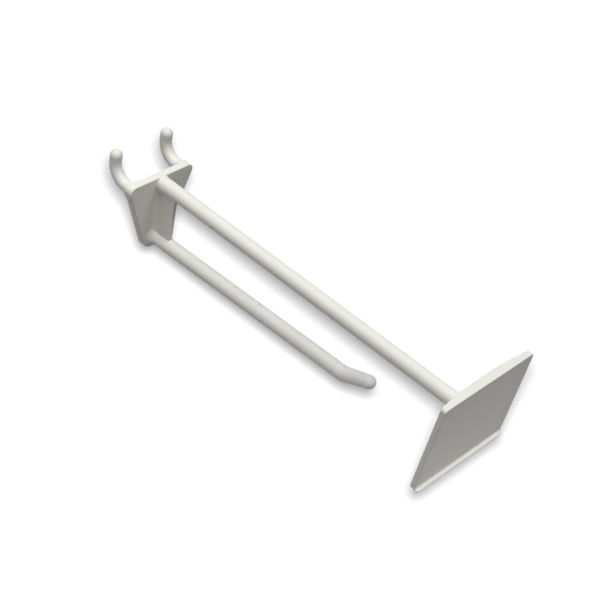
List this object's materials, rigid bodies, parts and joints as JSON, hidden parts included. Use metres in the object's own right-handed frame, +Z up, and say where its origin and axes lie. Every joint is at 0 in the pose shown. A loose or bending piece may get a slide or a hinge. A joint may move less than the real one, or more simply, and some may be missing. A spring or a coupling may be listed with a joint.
{
  "type": "scan hook",
  "caption": "Moulded pegboard display hook: bent pegs on a tapered back plate, a goods arm with an upturned tip, and an upper arm that holds a label plate out in front.",
  "frame": {"origin": "on the board's face, which is the back face of the back plate, midway between the two pegs and at the height of their axes", "axes": "+Y into the board, +Z up, +X to the right for someone who looks at the board"},
  "size_m": [0.0472, 0.171, 0.0464],
  "materials": {
    "plastic": "satin off-white moulded plastic"
  },
  "bodies": {
    "root": {"scan_hook": "plastic"}
  },
  "joints": []
}
